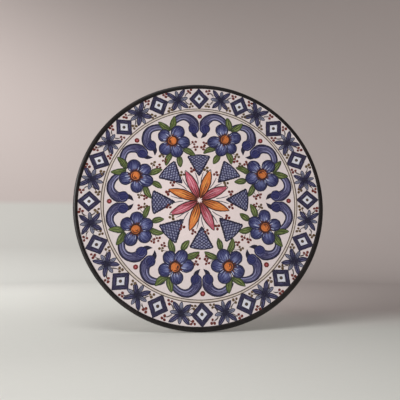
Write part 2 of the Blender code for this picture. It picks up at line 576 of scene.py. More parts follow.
class Shader:
    """A material under construction, with short ways to add its nodes."""

    def __init__(self, name):
        self.material = bpy.data.materials.new(name)
        self.material.use_nodes = True
        self.tree = self.material.node_tree
        self.surface = self.tree.nodes["Principled BSDF"]

    def feed(self, socket, value):
        """Links the socket or sets it. A colour needs no alpha."""
        if isinstance(value, bpy.types.NodeSocket):
            self.tree.links.new(value, socket)
        elif socket.type == "RGBA":
            socket.default_value = (*value[:3], 1.0)
        else:
            socket.default_value = value

    def node(self, kind, settings=None, **inputs):
        node = self.tree.nodes.new("ShaderNode" + kind)
        for key, value in (settings or {}).items():
            setattr(node, key, value)
        for key, value in inputs.items():
            self.feed(node.inputs[key.replace("_", " ")], value)
        return node

    def place(self):
        """The surface's own coordinates in metres."""
        return self.node("TexCoord").outputs["Object"]

    def attribute(self, name, output):
        return self.node("Attribute", {"attribute_name": name}).outputs[output]

    def maths(self, operation, *values):
        node = self.node("Math", {"operation": operation})
        for socket, value in zip(node.inputs, values):
            self.feed(socket, value)
        return node.outputs[0]

    def vector(self, x, y, z):
        return self.node("CombineXYZ", X=x, Y=y, Z=z).outputs["Vector"]

    def ramp(self, value, low, high, to_low=0.0, to_high=1.0):
        ends = {"From_Min": low, "From_Max": high, "To_Min": to_low, "To_Max": to_high}
        return self.node("MapRange", Value=value, **ends).outputs["Result"]

    def span(self, vector):
        return self.node("VectorMath", {"operation": "LENGTH"}, Vector=vector).outputs["Value"]

    def mix(self, share, first, second, blend="MIX"):
        node = self.node("Mix", {"data_type": "RGBA", "blend_type": blend})
        for key, value in (("Factor_Float", share), ("A_Color", first), ("B_Color", second)):
            socket = next(item for item in node.inputs if item.identifier == key)
            self.feed(socket, value)
        return next(item for item in node.outputs if item.identifier == "Result_Color")

    def noise(self, vector, scale, detail=3.0, roughness=0.55):
        node = self.node("TexNoise", Vector=vector, Scale=scale, Detail=detail, Roughness=roughness)
        return node.outputs["Fac"]

    def finish(self, colour, roughness, coat, height, strength, distance):
        """Feeds the surface: its colour, gloss and fine relief."""
        bump = self.node("Bump", Height=height, Strength=strength, Distance=distance).outputs["Normal"]
        inputs = {"Base Color": colour, "Roughness": roughness, "Coat Weight": coat, "Normal": bump}
        for name, value in inputs.items():
            self.feed(self.surface.inputs[name], value)
        self.surface.inputs["Coat Roughness"].default_value = 0.12
        return self.material


def scaled(colour, scale):
    return [min(1.0, channel * scale) for channel in colour]


def painted_glaze(name, tones, streaks, thinness, pooling, tip=0.0, root=0.0, heart=0.0):
    """Brushed glaze, streaky where it is thin and darker where it pools along a stroke's edges.

    Tip and root darken a stroke's two ends, and heart lightens its middle.
    """
    thin, body, pooled = tones
    shader = Shader(name)
    parts = shader.node("SeparateXYZ", Vector=shader.attribute("stroke", "Vector"))
    along, across, tone = parts.outputs
    reach = shader.attribute("reach", "Fac")
    place = shader.place()
    brush_place = shader.vector(
        shader.maths("MULTIPLY", along, 0.16),
        shader.maths("MULTIPLY", across, streaks),
        shader.maths("MULTIPLY", tone, 37.0),
    )
    hairs = shader.noise(brush_place, 1.0, 4.0, 0.62)
    cloud = shader.noise(place, 210.0, 2.0)
    side = shader.maths("ABSOLUTE", across)

    thin_share = shader.ramp(hairs, 0.44, 0.68, 0.0, thinness)
    if heart:
        bell = shader.maths("MULTIPLY", shader.ramp(reach, 0.10, 0.36), shader.ramp(reach, 0.78, 0.42))
        middle = shader.maths("MULTIPLY", bell, shader.ramp(side, 0.75, 0.1, 0.0, heart))
        middle = shader.maths("MULTIPLY", middle, shader.ramp(hairs, 0.36, 0.62, 0.15, 1.0))
        thin_share = shader.maths("MAXIMUM", thin_share, middle)
    colour = shader.mix(thin_share, body, thin)

    edge = shader.maths("POWER", side, 3.0)
    edge = shader.maths("MULTIPLY", edge, shader.ramp(cloud, 0.3, 0.7, pooling * 0.6, pooling))
    for strength, start, end in ((tip, 0.70, 1.0), (root, 0.34, 0.0)):
        if strength:
            edge = shader.maths("MAXIMUM", edge, shader.ramp(reach, start, end, 0.0, strength))
    colour = shader.mix(edge, colour, pooled)

    own_tone = shader.maths("ADD", tone, shader.ramp(cloud, 0.25, 0.75, -0.5, 0.5))
    depth = shader.ramp(own_tone, -0.5, 1.5, 0.80, 1.22)
    colour = shader.mix(1.0, colour, shader.vector(depth, depth, depth), "MULTIPLY")
    grain = shader.maths("ADD", shader.maths("MULTIPLY", hairs, 0.6), shader.noise(place, 1500.0, 2.0))
    return shader.finish(colour, shader.ramp(hairs, 0.2, 0.8, 0.22, 0.34), 0.25, grain, 0.12, 0.00006)


def white_glaze(palette):
    """The plate's ground: warm white, with faint clouds, a few iron specks and a softly rippled gloss, and
    painted shade that darkens and cools it towards the rim.
    """
    shader = Shader("white_tin_glaze")
    place = shader.place()
    clouds, fine = shader.noise(place, 26.0, 4.0), shader.noise(place, 190.0)
    from_centre = shader.node("VectorMath", {"operation": "SUBTRACT"}, Vector=place)
    from_centre.inputs[1].default_value = (0.0, 0.0, PLATE_CENTRE_HEIGHT)
    # Painted shade: the ground darkens and cools from the middle out to the rim.
    rim_shade = shader.ramp(shader.span(from_centre.outputs["Vector"]), 0.03, 0.125)
    warmer, pinker = (1.0, 1.0, 0.995), (0.95, 0.90, 0.92)
    colour = shader.mix(rim_shade, palette.ground, palette.shaded_border_ground)
    colour = shader.mix(shader.ramp(clouds, 0.35, 0.68), colour, warmer, "MULTIPLY")
    colour = shader.mix(shader.ramp(fine, 0.35, 0.8, 0.0, 0.35), colour, pinker, "MULTIPLY")
    cells = shader.node("TexVoronoi", Vector=place, Scale=330.0).outputs["Distance"]
    rare = shader.ramp(shader.noise(place, 75.0, 1.0), 0.66, 0.72, 0.0, 0.5)
    speck = shader.maths("MULTIPLY", shader.ramp(cells, 0.16, 0.08), rare)
    colour = shader.mix(speck, colour, scaled(palette.clay, 0.7))
    ripple = shader.maths("ADD", clouds, shader.maths("MULTIPLY", fine, 0.25))
    return shader.finish(colour, shader.ramp(fine, 0.3, 0.7, 0.22, 0.32), 0.25, ripple, 0.25, 0.0004)


def rim_glaze(palette):
    """Brown-black glaze, browner and thinner in places."""
    shader = Shader("brown_black_rim_glaze")
    place = shader.place()
    clouds, fine = shader.noise(place, 55.0, 4.0), shader.noise(place, 700.0)
    colour = shader.mix(shader.ramp(clouds, 0.42, 0.75, 0.0, 0.8), palette.rim, scaled(palette.rim, 2.6))
    colour = shader.mix(shader.ramp(fine, 0.55, 0.8, 0.0, 0.4), colour, scaled(palette.rim, 3.2))
    ripple = shader.maths("ADD", clouds, shader.maths("MULTIPLY", fine, 0.2))
    shader.surface.inputs["Specular IOR Level"].default_value = 0.3
    return shader.finish(colour, shader.ramp(fine, 0.3, 0.7, 0.30, 0.42), 0.0, ripple, 0.3, 0.0004)


def bare_clay(palette):
    """Unglazed clay on the foot ring's contact face and inside the wire holes."""
    shader = Shader("bare_fired_clay")
    place = shader.place()
    grit, clouds = shader.noise(place, 900.0, 5.0, 0.7), shader.noise(place, 60.0)
    colour = shader.mix(shader.ramp(grit, 0.35, 0.7), palette.clay, scaled(palette.clay, 1.4))
    colour = shader.mix(shader.ramp(clouds, 0.4, 0.7, 0.0, 0.5), colour, scaled(palette.clay, 0.65))
    return shader.finish(colour, shader.ramp(grit, 0.3, 0.7, 0.75, 0.92), 0.0, grit, 0.5, 0.0003)


# Each painted glaze: its thin, full and pooled colours from the palette, then its streaks, thinness
# and pooling, and how far its tip and its root are darkened and its heart is lightened.
GLAZES = {
    "navy": ("star_blue navy navy", 2.0, 0.4, 0.2),
    "cobalt": ("glint cobalt navy", 5.0, 0.22, 0.85, 0.65, 0.0, 0.85),
    "deep_blue": ("violet cobalt navy", 4.0, 0.7, 0.35, 0.2),
    "glint": ("pearl glint cobalt", 2.5, 0.5, 0.45),
    "shine": ("pearl shine glint", 2.5, 0.5, 0.6),
    "violet": ("lavender violet navy", 5.5, 0.4, 0.6),
    "lavender": ("pearl lavender violet", 3.0, 0.12, 0.5),
    "star_blue": ("violet star_blue navy", 4.5, 0.8, 0.8, 0.5, 0.8),
    "haze": ("lavender haze star_blue", 3.0, 0.4, 0.4),
    "frame": ("violet frame navy", 3.0, 0.4, 0.4),
    "pale_blue": ("pearl pale_blue violet", 3.5, 0.3, 0.7, 0.0, 0.5),
    "cell": ("pearl cell violet", 9.0, 0.4, 0.15),
    "hatch": ("violet star_blue navy", 2.0, 0.4, 0.3),
    "pearl": ("ground pearl pale_blue", 3.0, 0.3, 0.3),
    "green": ("light_green green dark_green", 4.0, 0.6, 0.5, 0.0, 0.45),
    "light_green": ("cream light_green green", 2.0, 0.1, 0.5),
    "dark_green": ("green dark_green navy", 2.0, 0.3, 0.2),
    "orange": ("cream orange rust", 4.0, 0.08, 0.4, 0.0, 0.8),
    "rust": ("red rust brown", 2.0, 0.3, 0.4),
    "light_orange": ("cream light_orange orange", 2.5, 0.2, 0.5),
    "pink": ("light_pink pink red", 4.0, 0.5, 0.4, 0.0, 0.8),
    "light_pink": ("ground light_pink pink", 2.5, 0.3, 0.5),
    "brown": ("red brown brown", 2.0, 0.3, 0.2),
    "red": ("orange red brown", 2.0, 0.12, 0.6),
    "ochre": ("cream ochre brown", 2.0, 0.15, 0.6),
    "stem": ("ring stem brown", 2.0, 0.4, 0.3),
    "slate": ("pale_blue slate stem", 2.0, 0.3, 0.2),
    "ring": ("ochre ring brown", 2.0, 0.5, 0.2),
    "cream": ("ground cream ring", 3.0, 0.5, 0.05),
    "blush": ("ground ground light_pink", 2.0, 0.0, 0.4),
}


def painted(name):
    """The named glaze, made once."""
    tones, *handling = GLAZES[name]
    tones = [getattr(bpy.context.scene.paint_palette, tone) for tone in tones.split()]
    name = "painted_" + name
    return bpy.data.materials.get(name) or painted_glaze(name, tones, *handling)


# Motifs. Sizes are in millimetres round the motif's own centre.


def spots(count, radius, seed, offset=0.0, swing=0.3, drift=0.35, growth=0.03, aside=0.0, shift=(0, 0)):
    """Places for a motif all round the plate, each set down by hand.

    Aside moves every place clockwise, and shift moves the whole ring right and up.
    """
    right, up = shift
    plan = bpy.context.scene.paint_plan
    hand = np.random.default_rng(plan.seed + seed)
    places = []
    for index in range(count):
        turn = plan.painting_turn + (index + offset) * math.tau / count
        turn += math.radians(hand.uniform(-swing, swing))
        spin = math.radians(hand.uniform(-swing, swing) * 6)
        growing = 1 + hand.uniform(-growth, growth)
        cos, sin = math.cos(turn), math.sin(turn)
        moved = (aside + right * cos - up * sin, right * sin + up * cos)
        places.append(Spot(turn, radius, spin, growing, hand.uniform(-drift, drift, 2) + moved))
    return places


def radial_blade(brush, turn, start, reach, half_width, share, bend=0.5, loose=4.0):
    """A form that points away from its motif's centre."""
    out = outward(turn + brush.vary(-loose, loose))
    reach *= brush.vary(0.95, 1.05)
    side = np.array([out[1], -out[0]]) * brush.vary(-bend, bend)
    return Blade([out * start, out * (start + reach) / 2 + side, out * reach], half_width, share)


# Each petal's direction, reach and half-width, clockwise from outward.
FLOWER_PETALS = ((-35, 18.8, 7.3), (54, 19.5, 7.4), (122, 19.8, 7.2), (182, 21.0, 7.3), (-118, 20.2, 7.2))
FLOWER_EYE = 5.2


def draw_flower(brush):
    """Five round petals, every other one over its neighbours, each streaked with light from the eye."""
    body, light, line, bright = range(4)
    for order, (turn, reach, half_width) in enumerate(FLOWER_PETALS):
        over = 1.6 * (order % 2)
        half_width *= brush.vary(0.96, 1.04)
        blade = radial_blade(brush, turn, 3.4, reach, half_width, round_width(0.53, 0.40), 0.9)
        brush.wash(blade, over, body)
        centre = brush.vary(-0.22, 0.22)
        for across in (-0.24, -0.08, 0.08, 0.24):
            place = centre + across + brush.vary(-0.05, 0.05)
            slide = [(place * 0.8, place)]
            brush.streaks(blade, slide, (0.16, 0.3), (0.46, 0.68), (0.2, 0.55), over + 0.4, light)
        for place, reach_share in ((-0.28, 0.6), (0.22, 0.6), (-0.82, 0.45), (0.8, 0.45)):
            end = reach_share * brush.vary(0.7, 1.0)
            glow = [(centre + place * 0.9, centre * 0.5 + place)]
            broad = (0.3 * reach_share / 0.6, 0.8 * reach_share / 0.6)
            brush.streaks(blade, glow, (0.12, 0.22), end, broad, over + 0.6, bright)
        edges, veins = (-0.62, 0.58), [(across * 0.7, across) for across in (-0.45, 0.05, 0.5)]
        brush.streaks(blade, edges, (0.3, 0.5), (0.6, 0.84), (0.12, 0.24), over + 0.4, light, (0.2, 0.1), 0.1)
        brush.streaks(blade, veins, 0.06, (0.26, 0.46), (0.2, 0.36), over + 0.6, line, (0.9, 0.1), 0.1)
        brush.line(blade.contour(), (0.5, 0.62), over + 0.8, line, (0.4, 0.4))


def draw_eye(brush):
    """An orange eye with a dark moon in it and short lashes round it."""
    body, shade, line = range(3)
    brush.disc((0, 0), FLOWER_EYE, 0, body, (-40, 40))
    start = brush.vary(170, 215)
    brush.line(spiral((0, 0), (3.3, 3.9), (start, start + 190), 24), 0.95, 0.8, shade, (0.2, 0.2))
    moon = spiral(brush.vary(-1.2, -0.2, 2), (1.0, 1.7), (start - 10, start + 180), 20)
    brush.line(moon, (0.45, 0.9), 1.4, line, (0.3, 0.2))
    brush.line(circle(FLOWER_EYE + 0.55)[1:-1], 1.25, 1.8, line, (0.8, 0.7))
    brush.rays(22, 7, FLOWER_EYE, (7.2, 9.6), (0.5, 0.9), 1.6, (line, shade), (0.9, 0.1))


# Each leaf runs from its base over a middle point to its tip, and has a half-width.
FLOWER_LEAVES = (
    ((2.6, 12.2), (-2.2, 18.6), (-6.8, 26.6), 3.5),
    ((3.4, 12.2), (8.6, 18.8), (12.8, 26.6), 3.5),
    ((-5.8, -13.6), (-12.8, -18.8), (-18.0, -25.8), 3.3),
    ((7.2, -13.8), (13.0, -18.8), (17.6, -25.6), 3.2),
    ((0.0, -19.4), (-1.0, -26.2), (-2.8, -33.0), 3.2),
)


def draw_leaves(brush):
    """The five leaves round a flower, each outlined, with a midrib and lighter streaks."""
    body, light, line = range(3)
    for base, middle, tip, half_width in FLOWER_LEAVES:
        spine = [base, middle + brush.vary(-0.5, 0.5, 2), tip + brush.vary(-0.5, 0.5, 2)]
        blade = Blade(spine, half_width * brush.vary(0.94, 1.08), pointed_width(0.84, 0.72))
        brush.wash(blade, 0, body)
        brush.streaks(blade, ((-0.36, -0.44), (0.27, 0.33)), 0.14, (0.6, 0.82), (0.35, 0.6), 0.5, light)
        brush.streaks(blade, (1, -1), 0, 1, 0.5, 1.2, line, (0.5, 0.5), count=24)
        brush.streaks(blade, [(0.1, -0.05)], 0, 0.86, 0.36, 1.2, line, (0.9, 0.1))
        brush.streaks(blade, [(0.3, 0.5)], 0.08, (0.45, 0.65), 0.26, 1.1, line, (0.8, 0.1))
        brush.streaks(blade, [(-0.33, -0.55)], 0.08, (0.4, 0.6), 0.26, 1.1, line, (0.8, 0.1))


# The scroll's spine from behind the flower's leaves to its ball, with its half-width at each point.
SCROLL_SPINE = (
    (32.6, -3.0, 2.4),
    (30.8, 0.0, 3.0),
    (28.2, 3.1, 3.4),
    (25.0, 5.6, 3.6),
    (21.2, 7.4, 3.8),
    (16.8, 7.9, 4.1),
    (12.2, 6.4, 4.6),
    (8.0, 2.9, 5.1),
    (5.7, -1.0, 5.3),
    (5.6, -4.8, 5.4),
    (6.2, -8.0, 5.2),
)
SCROLL_BALL = (6.5, -6.2)
SCROLL_BALL_RADIUS = 6.0
SCROLL_TAIL = ((6.0, -8.4), (6.1, -13.2), (1.6, -18.0))


def draw_scroll(brush, side):
    """A scroll that starts behind a flower's leaves, arcs along the ring lines and curls into a ball."""
    body, light, line, ball = range(4)
    blade = Blade([(x * side, y, width) for x, y, width in SCROLL_SPINE], 1.0)
    tail = Blade(mirrored(SCROLL_TAIL, side), 3.6, horn_width)

    def ball_arc(radii, angles):
        return mirrored(spiral(SCROLL_BALL, radii, angles, 30), side)

    brush.wash(tail, 0.0, line)
    brush.wash(blade, 0.1, body, 0.0, 0.97, 0.9)
    brush.disc(mirrored(SCROLL_BALL, side), SCROLL_BALL_RADIUS, 0.5, ball, (-20, 20))

    brush.streaks(blade, [(side * 0.38, side * 0.50)], 0, (0.66, 0.72), 0.9, 0.8, light, count=26)
    for across, half_width in ((-0.05, 0.2), (-0.36, 0.28)):
        place = [side * across]
        brush.streaks(blade, place, (0.04, 0.3), (0.6, 0.88), half_width, 0.8, light, (0.2, 0.1), count=22)
    brush.streaks(blade, (side * 0.12, side * 0.72), 0.05, (0.68, 0.78), 0.26, 1.0, line, count=22)
    brush.streaks(blade, [side * -0.82], 0.04, 0.9, 0.6, 0.9, line, count=40)
    brush.line(ball_arc((4.9, 4.2), (10, -140)), 0.2, 1.0, light, (0.2, 0.1))
    brush.line(ball_arc((4.3, 2.8), (60, -190)), 0.27, 1.1, line, (0.6, 0.1))

    outer_edge = np.vstack([blade.streak(0.0, 0.83, -side, 44), ball_arc((6.0, 6.0), (-88, -160))])
    inner_edge = np.vstack([blade.streak(0.0, 0.74, side, 36), ball_arc((5.9, 5.9), (54, 168))])
    for edge in (outer_edge, inner_edge):
        brush.line(edge, 0.52, 1.4, line, (0.4, 0.5))


def draw_scroll_pair(brush):
    for side in (1, -1):
        draw_scroll(brush, side)


DIAMOND_HALF = np.array((12.0, 12.9))
DIAMOND_INNER = 0.44


def draw_diamond(brush):
    """A mitred frame with a lighter streak down each side, round a bluish-white middle."""
    body, light, fill, line = range(4)
    corners = np.array(((0, 1), (1, 0), (0, -1), (-1, 0), (0, 1))) * DIAMOND_HALF
    sides = list(zip(corners, corners[1:]))
    middle = Blade([corners[0] * 0.6, (0, 0), corners[2] * 0.6], 6.8, lambda t: 1.01 - abs(2 * t - 1))
    brush.wash(middle, 0.0, fill, edge=0.0)
    around = np.vstack([straight(start, end, 10)[:-1] for start, end in sides])
    half = (1 - DIAMOND_INNER) / 2
    share = 1 - half + half * brush.LINE_SECTION[0] * (1 + 0.05 * brush.wave(len(around), 4)[:, None])
    rows = around[:, None, :] * share[..., None]
    brush.loft(rows, brush.LINE_SECTION, 0.6, path_lengths(around), body, closed=True)
    for start, end in sides:
        streak = straight(start * 0.88 + end * 0.12, start * 0.12 + end * 0.88)
        brush.line(streak * (1 - half + brush.vary(-0.04, 0.04)), (0.35, 0.75), 1.0, light, (0.3, 0.15))
        for reach in (0.965, DIAMOND_INNER + 0.04):
            brush.line(straight(start, end) * reach, 0.36, 1.0, line, (1.0, 0.9))


def draw_diamond_dot(brush):
    ring, fill, core = range(3)
    centre = brush.vary(-0.4, 0.4, 2)
    brush.dab(centre, 1.5, 1.0, fill)
    brush.line(circle(1.4, centre=centre), 0.55, 1.4, ring, spacing=0.55)
    brush.dab(centre + brush.vary(-0.2, 0.2, 2), 0.5, 1.6, core)


# Each form's direction, reach and half-width, clockwise from outward.
STAR_PETALS = ((-44, 15.2, 2.3), (46, 15.2, 2.3), (138, 14.6, 2.35), (-139, 14.4, 2.35))
STAR_LEAVES = ((0, 10.8, 1.8), (91, 12.0, 1.9), (180, 12.2, 1.8), (-91, 12.0, 1.9))


def draw_star_leaves(brush):
    """Four pale pointed leaves, one behind each gap of the star."""
    body, line = range(2)
    for turn, reach, half_width in STAR_LEAVES:
        blade = radial_blade(brush, turn, 1.5, reach, half_width, pointed_width(1.1, 0.75, 0.5), 0.3)
        brush.wash(blade, 0.0, body)
        brush.line(blade.contour(16), 0.48, 0.6, line, (0.8, 0.8))
        brush.streaks(blade, [0], 0.05, 0.8, 0.34, 0.6, line, (0.9, 0.2))
        brush.streaks(blade, (-0.45, 0.45), 0.05, 0.6, 0.24, 0.6, line, (0.9, 0.1))


def draw_star(brush):
    """Four pointed dark petals, streaked, and dark where they meet."""
    body, light, line = range(3)
    for turn, reach, half_width in STAR_PETALS:
        blade = radial_blade(brush, turn, 0.4, reach, half_width, pointed_width(1.08, 0.75, 0.35))
        brush.wash(blade, 0.0, body)
        brush.streaks(blade, (-0.46, 0.46), (0.28, 0.42), (0.74, 0.88), (0.35, 0.6), 0.4, light, (0.2, 0.1))
        brush.streaks(blade, [0], 0.1, 0.86, 0.32, 0.6, line, (0.9, 0.2))
        brush.streaks(blade, (1, -1), 0.06, 1, 0.46, 0.7, line, (0.6, 0.4), count=16)
    brush.disc((0, 0), (2.6, 3.3), 0.6, line)
    brush.rays(12, 10, 1, (3.8, 6.6), (0.35, 0.75), 0.8, [line], (1.0, 0.1))


BERRY_RED, BERRY_OCHRE, BERRY_STEM, BERRY_BROWN = range(4)


def draw_cluster(brush, redness, centre, spread, radius, turn):
    """Three berries on short branches, red or ochre, each its own touch of the brush."""
    glaze = BERRY_RED if brush.hand.random() < redness else BERRY_OCHRE
    turn += brush.vary(-20, 20)
    for index in range(3):
        place = centre + outward(turn + index * 120 + brush.vary(-14, 14)) * spread * brush.vary(0.9, 1.12)
        brush.line(straight(centre, place, 6), 0.18, 0.2, BERRY_STEM, (1.0, 0.8))
        brush.dab(place, (radius * 0.88, radius * 1.12), 0.5, glaze)
        brush.dab(place + brush.vary(-0.2, 0.2, 2), radius * 0.5, 0.9, BERRY_BROWN)


def draw_stem(brush, root, tip, rise, half_width=0.38):
    """A thin stem that bows a little to one side."""
    middle = (np.array(root) + tip) / 2 + (0.0, rise)
    brush.line(smooth_path([root, middle, tip], 12), half_width, 0, BERRY_STEM, (0.8, 0.5))


# Berries round a diamond: the middle of each cluster, and where its stem starts.
BORDER_SPRIGS = (
    ((-10.6, 8.2), (-15.2, 3.6)),
    ((10.8, 8.4), (15.4, 3.8)),
    ((-10.0, -8.4), (-15.0, -3.4)),
    ((9.6, -8.4), (15.0, -3.4)),
)


def draw_border_sprigs(brush):
    for centre, root in BORDER_SPRIGS:
        rise, redness, turn = (0.8, 0.95, 180) if centre[1] > 0 else (-0.8, 0.25, 0)
        centre = centre + brush.vary(-0.5, 0.5, 2)
        root = centre + (root - centre) * 1.35 + brush.vary(-0.5, 0.5, 2)
        tip = centre + (root - centre) * 0.2
        draw_stem(brush, root, tip, rise)
        draw_stem(brush, root + (0, rise * 2), tip + brush.vary(-0.8, 0.8, 2), rise)
        draw_cluster(brush, redness, centre, 2.05, 1.55, turn)


# Berries between two flowers, for the right side: the middle of each cluster, and where its stem starts.
FLOWER_SPRIGS = (((6.3, 3.8), (13.0, -0.4)), ((4.4, -2.2), (10.8, -3.6)))


def draw_flower_sprigs(brush):
    for side in (1, -1):
        for centre, root in FLOWER_SPRIGS:
            centre = mirrored(centre, side) + brush.vary(-0.5, 0.5, 2)
            root = mirrored(root, side) + brush.vary(-0.5, 0.5, 2)
            draw_stem(brush, root, centre, 0.8, 0.3)
            draw_cluster(brush, 0.75, centre, 2.0, 1.5, 180)


# Sprigs that rise between two rosette petals, one on each side of a lattice's point.
ROSETTE_SPRIG_STEM = ((1.3, -11.6), (2.3, -4.6), (4.6, 2.6))
ROSETTE_SPRIG_BERRIES = (7.9, 5.6)


def draw_rosette_sprigs(brush):
    for side in (1, -1):
        stem = mirrored(ROSETTE_SPRIG_STEM, side) + brush.vary(-0.3, 0.3, 2)
        brush.line(smooth_path(stem, 20), 0.52, 0, BERRY_STEM, (0.4, 0.4))
        centre = mirrored(ROSETTE_SPRIG_BERRIES, side) + brush.vary(-0.4, 0.4, 2)
        draw_cluster(brush, 0.8, centre, 2.05, 1.6, -90 * side)


LATTICE_HALF = 12.8
LATTICE_CORNER = 10.6
LATTICE_CROWN = 12.5
LATTICE_POINT = -12.8
LATTICE_PITCH = 2.8
LATTICE_SLOPE = 34


def lattice_half_width(y):
    return LATTICE_HALF * np.clip((y - LATTICE_POINT) / (LATTICE_CORNER - LATTICE_POINT), 0, 1)


def lattice_top(x):
    return LATTICE_CROWN - (LATTICE_CROWN - LATTICE_CORNER) * (x / LATTICE_HALF) ** 2


def draw_lattice(brush):
    """A three-sided field with a bowed outer side, cross-hatched over a pale wash and edged with scallops."""
    field, hatch, line = range(3)
    y = straight(LATTICE_POINT, LATTICE_CROWN - 0.4, 48)
    bowed = LATTICE_HALF * np.sqrt((LATTICE_CROWN - y) / (LATTICE_CROWN - LATTICE_CORNER))
    half = np.maximum(np.minimum(lattice_half_width(y), bowed), 0.1)
    brush.wash(Blade(np.stack([y * 0, y, half], axis=1), 1.0), 0.0, field, spacing=0.8, edge=0.0)
    for slope in (LATTICE_SLOPE, -LATTICE_SLOPE):
        along = outward(90 - slope - brush.vary(-3, 3))
        normal = np.array([-along[1], along[0]])
        for step in range(-9, 10):
            ray = normal * (step + 0.5) * LATTICE_PITCH + straight(-20, 20, 81)[:, None] * along
            x, y = ray.T
            inside = (abs(x) < lattice_half_width(y) - 0.3) & (y < lattice_top(x))
            if inside.sum() > 4:
                brush.line(ray[inside], (0.6, 0.78), 0.8, hatch, (0.9, 0.8))
    point = np.array((0, LATTICE_POINT))
    brush.line(straight(point + (0, 0.6), point + (0, 4.4), 8), 0.9, 1.5, line, (0.9, 0.1))
    for side in (1, -1):
        corner = np.array((side * LATTICE_HALF, LATTICE_CORNER))
        brush.line(straight(corner, point, 16), 1.05, 1.6, line, (0.9, 0.6))
        for share in np.arange(0.05, 0.95, 0.118):
            scallop = corner * (1 - share) + point * share + (side * 0.45, -0.2)
            brush.dab(scallop, (0.76, 0.94), 1.4, line)
    x = straight(-LATTICE_HALF, LATTICE_HALF, 24)
    brush.line(np.stack([x, lattice_top(x)], axis=1), 0.85, 1.8, line, (0.9, 0.9))


ROSETTE_NUDGE = (-1.2, 1.3)
ROSETTE_REACH = 36.8
ROSETTE_HALF_WIDTH = 5.0


def draw_rosette_petal(brush, turn):
    """A long pointed petal, dark at its root, with light streaks and a brown outline."""
    body, light, shade, line = range(4)
    share = pointed_width(0.98, 0.85, 0.12)
    blade = radial_blade(brush, turn, 1.8, ROSETTE_REACH, ROSETTE_HALF_WIDTH, share, 0.9, 1.0)
    brush.wash(blade, 0.0, body, 0.0, brush.vary(0.92, 1.0))
    for across, broad in ((-0.42, 0.35), (0.12, 0.8), (0.5, 0.4)):
        broad = (broad * 0.8, broad * 1.1)
        brush.streaks(blade, [across], (0.3, 0.42), (0.66, 0.86), broad, 0.4, light, (0.2, 0.1))
    for across, glaze in ((-0.5, shade), (-0.06, line), (0.5, shade)):
        brush.streaks(blade, [across], 0.04, (0.4, 0.6), (0.45, 0.65), 0.8, glaze, (1.0, 0.05), 0.1)
    brush.streaks(blade, (1, -1), 0.02, 1, 0.72, 1.2, line, (0.9, 0.5), count=40)


def draw_rosette_heart(brush):
    brush.rays(8, 8, 0, (2.6, 4.4), 0.6, 0, [0], (1.0, 0.05), 0.5)


# Pieces.


def body_profile(form):
    """The turned section from the middle of the face round the rim and the back to the axis."""
    well, face = form.well_diameter / 2, form.face_diameter / 2
    flare, chamfer, cove, trim = 0.0012, 0.0008, 0.0020, 0.0001
    foot, half = form.foot_diameter / 2, form.foot_face / 2
    shoulder, inner = foot + half + flare + cove, foot - half - flare - cove
    front = np.concatenate([straight(0, well, 13)[:-1], straight(well, face, 27)[:-1]])
    back = straight(face, shoulder, 20)[1:]
    quarter = np.linspace(0, np.pi / 2, 6)[1:]
    rise = float(back_height(form, shoulder))
    lip = [(half + chamfer, chamfer), (half + chamfer * 0.3, chamfer * 0.3), (half, 0.0)]
    sections = [
        np.stack([front, front_height(form, front)], axis=1),
        roll_points(form, roll_start(form), -roll_start(form), 22, trim),
        np.stack([back, back_height(form, back)], axis=1),
        np.stack([shoulder - cove * np.sin(quarter), rise - cove * (1 - np.cos(quarter))], axis=1),
        np.array([(foot + across, height) for across, height in lip]),
        np.array([(foot - across, height) for across, height in reversed(lip)]),
        np.stack([inner + cove * np.cos(quarter), form.foot_height - cove * (1 - np.sin(quarter))], axis=1),
        np.array([(inner * 0.5, form.foot_height), (0.0, form.foot_height)]),
    ]
    return np.vstack(sections)


def turned(name, profile, steps, centre, axis):
    """Turns a line of points round an axis through this centre."""
    bm = bmesh.new()
    verts = [bm.verts.new(point) for point in profile]
    edges = [bm.edges.new(pair) for pair in zip(verts, verts[1:])]
    bmesh.ops.spin(
        bm, geom=verts + edges, cent=centre, axis=axis, angle=math.tau, steps=steps, use_merge=True
    )
    bmesh.ops.remove_doubles(bm, verts=bm.verts, dist=0.000001)
    bmesh.ops.recalc_face_normals(bm, faces=bm.faces)
    mesh = bpy.data.meshes.new(name)
    bm.to_mesh(mesh)
    bm.free()
    mesh.shade_smooth()
    return link(name, mesh)


DRILL_LENGTH = 0.014


def drill_wire_holes(piece, form):
    """Cuts the two radial holes through the foot ring."""
    for side in (-1, 1):
        angle = side * form.wire_hole_angle
        out = Vector((math.sin(angle), 0.0, math.cos(angle)))
        bpy.ops.mesh.primitive_cylinder_add(vertices=32, radius=form.wire_hole, depth=DRILL_LENGTH)
        cutter = bpy.context.object
        height = Vector((0.0, -form.wire_hole_height, PLATE_CENTRE_HEIGHT))
        cutter.location = out * form.foot_diameter / 2 + height
        cutter.rotation_euler = out.to_track_quat("Z", "Y").to_euler()
        cut = piece.modifiers.new("wire hole", "BOOLEAN")
        cut.operation = "DIFFERENCE"
        cut.solver = "EXACT"
        cut.object = cutter
        graph = bpy.context.evaluated_depsgraph_get()
        drilled = bpy.data.meshes.new_from_object(piece.evaluated_get(graph))
        piece.modifiers.clear()
        piece.data = drilled
        bpy.data.objects.remove(cutter)


CLAY_REACH = 0.0004
HOLE_REACH = 1.02


def lay_clay(mesh, form):
    """Gives bare clay to the foot ring's contact face and to the walls of the wire holes."""
    for polygon in mesh.polygons:
        x, y, z = polygon.center
        across = abs(math.hypot(x, z - PLATE_CENTRE_HEIGHT) - form.foot_diameter / 2)
        on_foot = across < form.foot_face / 2 + CLAY_REACH and -y < CLAY_REACH
        from_hole = abs(-y - form.wire_hole_height)
        in_hole = across < form.foot_face / 2 - CLAY_REACH / 2 and from_hole < form.wire_hole * HOLE_REACH
        polygon.material_index = 1 if on_foot or in_hole else 0


